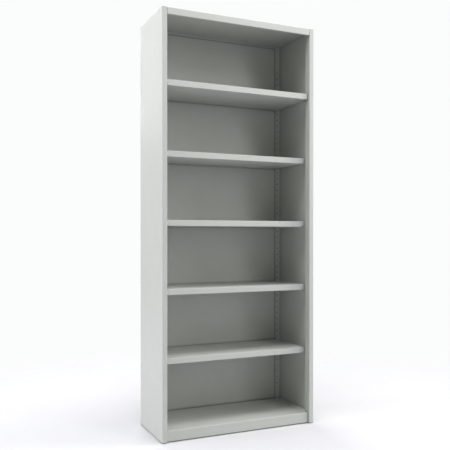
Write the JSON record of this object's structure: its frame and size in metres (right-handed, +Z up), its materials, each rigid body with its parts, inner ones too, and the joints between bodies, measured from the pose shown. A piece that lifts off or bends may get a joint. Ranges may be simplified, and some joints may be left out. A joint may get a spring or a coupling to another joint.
{
  "type": "bookcase with adjustable shelves",
  "caption": "Tall open-fronted sheet-steel bookcase with adjustable shelves on slotted clips, a closed back, a recessed kick plate and levelling feet.",
  "frame": {"origin": "on the floor, in the middle of the footprint", "axes": "+Z up; the open front faces -Y; +X towards the right side seen from the front"},
  "size_m": [0.8, 0.34, 1.98],
  "materials": {
    "paint": "fine textured light grey powder coat, satin",
    "zinc": "bright zinc plating",
    "plastic": "moulded black plastic"
  },
  "bodies": {
    "carcass": {"side_panel_left": "paint", "side_panel_right": "paint", "back_panel": "paint", "top_panel": "paint", "base_shelf": "paint", "foot_bracket_front_left": "zinc", "foot_bracket_front_right": "zinc", "foot_bracket_rear_left": "zinc", "foot_bracket_rear_right": "zinc", "back_screw_left_1": "zinc", "back_screw_left_2": "zinc", "back_screw_left_3": "zinc", "back_screw_left_4": "zinc", "back_screw_left_5": "zinc", "back_screw_left_6": "zinc", "back_screw_right_1": "zinc", "back_screw_right_2": "zinc", "back_screw_right_3": "zinc", "back_screw_right_4": "zinc", "back_screw_right_5": "zinc", "back_screw_right_6": "zinc"},
    "clips_1": {"clip_1_front_left": "zinc", "clip_1_front_right": "zinc", "clip_1_rear_left": "zinc", "clip_1_rear_right": "zinc"},
    "shelf_1": {"shelf_1": "paint"},
    "clips_2": {"clip_2_front_left": "zinc", "clip_2_front_right": "zinc", "clip_2_rear_left": "zinc", "clip_2_rear_right": "zinc"},
    "shelf_2": {"shelf_2": "paint"},
    "clips_3": {"clip_3_front_left": "zinc", "clip_3_front_right": "zinc", "clip_3_rear_left": "zinc", "clip_3_rear_right": "zinc"},
    "shelf_3": {"shelf_3": "paint"},
    "clips_4": {"clip_4_front_left": "zinc", "clip_4_front_right": "zinc", "clip_4_rear_left": "zinc", "clip_4_rear_right": "zinc"},
    "shelf_4": {"shelf_4": "paint"},
    "clips_5": {"clip_5_front_left": "zinc", "clip_5_front_right": "zinc", "clip_5_rear_left": "zinc", "clip_5_rear_right": "zinc"},
    "shelf_5": {"shelf_5": "paint"},
    "foot_pad_front_left": {"foot_pad_front_left": "plastic"},
    "foot_stud_front_left": {"foot_stud_front_left": "zinc"},
    "foot_pad_front_right": {"foot_pad_front_right": "plastic"},
    "foot_stud_front_right": {"foot_stud_front_right": "zinc"},
    "foot_pad_rear_left": {"foot_pad_rear_left": "plastic"},
    "foot_stud_rear_left": {"foot_stud_rear_left": "zinc"},
    "foot_pad_rear_right": {"foot_pad_rear_right": "plastic"},
    "foot_stud_rear_right": {"foot_stud_rear_right": "zinc"}
  },
  "joints": [
    {"name": "shelf_1_height", "type": "slide", "parent": "carcass", "child": "clips_1", "axis": [0, 0, 1], "range_m": [-0.096, 0.096]},
    {"name": "shelf_1_lift", "type": "slide", "parent": "clips_1", "child": "shelf_1", "axis": [0, 0, 1], "range_m": [0, 0.04]},
    {"name": "shelf_2_height", "type": "slide", "parent": "carcass", "child": "clips_2", "axis": [0, 0, 1], "range_m": [-0.096, 0.096]},
    {"name": "shelf_2_lift", "type": "slide", "parent": "clips_2", "child": "shelf_2", "axis": [0, 0, 1], "range_m": [0, 0.04]},
    {"name": "shelf_3_height", "type": "slide", "parent": "carcass", "child": "clips_3", "axis": [0, 0, 1], "range_m": [-0.096, 0.096]},
    {"name": "shelf_3_lift", "type": "slide", "parent": "clips_3", "child": "shelf_3", "axis": [0, 0, 1], "range_m": [0, 0.04]},
    {"name": "shelf_4_height", "type": "slide", "parent": "carcass", "child": "clips_4", "axis": [0, 0, 1], "range_m": [-0.096, 0.096]},
    {"name": "shelf_4_lift", "type": "slide", "parent": "clips_4", "child": "shelf_4", "axis": [0, 0, 1], "range_m": [0, 0.04]},
    {"name": "shelf_5_height", "type": "slide", "parent": "carcass", "child": "clips_5", "axis": [0, 0, 1], "range_m": [-0.096, 0.096]},
    {"name": "shelf_5_lift", "type": "slide", "parent": "clips_5", "child": "shelf_5", "axis": [0, 0, 1], "range_m": [0, 0.04]},
    {"name": "foot_front_left_level", "type": "slide", "parent": "carcass", "child": "foot_pad_front_left", "axis": [0, 0, -1], "range_m": [0, 0.012]},
    {"name": "foot_front_left_turn", "type": "hinge", "parent": "foot_pad_front_left", "child": "foot_stud_front_left", "pos_m": [-0.362, -0.1, 0], "axis": [0, 0, 1], "range_deg": [0, 3457]},
    {"name": "foot_front_right_level", "type": "slide", "parent": "carcass", "child": "foot_pad_front_right", "axis": [0, 0, -1], "range_m": [0, 0.012]},
    {"name": "foot_front_right_turn", "type": "hinge", "parent": "foot_pad_front_right", "child": "foot_stud_front_right", "pos_m": [0.362, -0.1, 0], "axis": [0, 0, 1], "range_deg": [0, 3457]},
    {"name": "foot_rear_left_level", "type": "slide", "parent": "carcass", "child": "foot_pad_rear_left", "axis": [0, 0, -1], "range_m": [0, 0.012]},
    {"name": "foot_rear_left_turn", "type": "hinge", "parent": "foot_pad_rear_left", "child": "foot_stud_rear_left", "pos_m": [-0.362, 0.13, 0], "axis": [0, 0, 1], "range_deg": [0, 3457]},
    {"name": "foot_rear_right_level", "type": "slide", "parent": "carcass", "child": "foot_pad_rear_right", "axis": [0, 0, -1], "range_m": [0, 0.012]},
    {"name": "foot_rear_right_turn", "type": "hinge", "parent": "foot_pad_rear_right", "child": "foot_stud_rear_right", "pos_m": [0.362, 0.13, 0], "axis": [0, 0, 1], "range_deg": [0, 3457]}
  ],
  "couplings": [
    {"joint": "foot_front_left_turn", "follows": "foot_front_left_level", "rad_per_m": 5026.5},
    {"joint": "foot_front_right_turn", "follows": "foot_front_right_level", "rad_per_m": 5026.5},
    {"joint": "foot_rear_left_turn", "follows": "foot_rear_left_level", "rad_per_m": 5026.5},
    {"joint": "foot_rear_right_turn", "follows": "foot_rear_right_level", "rad_per_m": 5026.5}
  ]
}
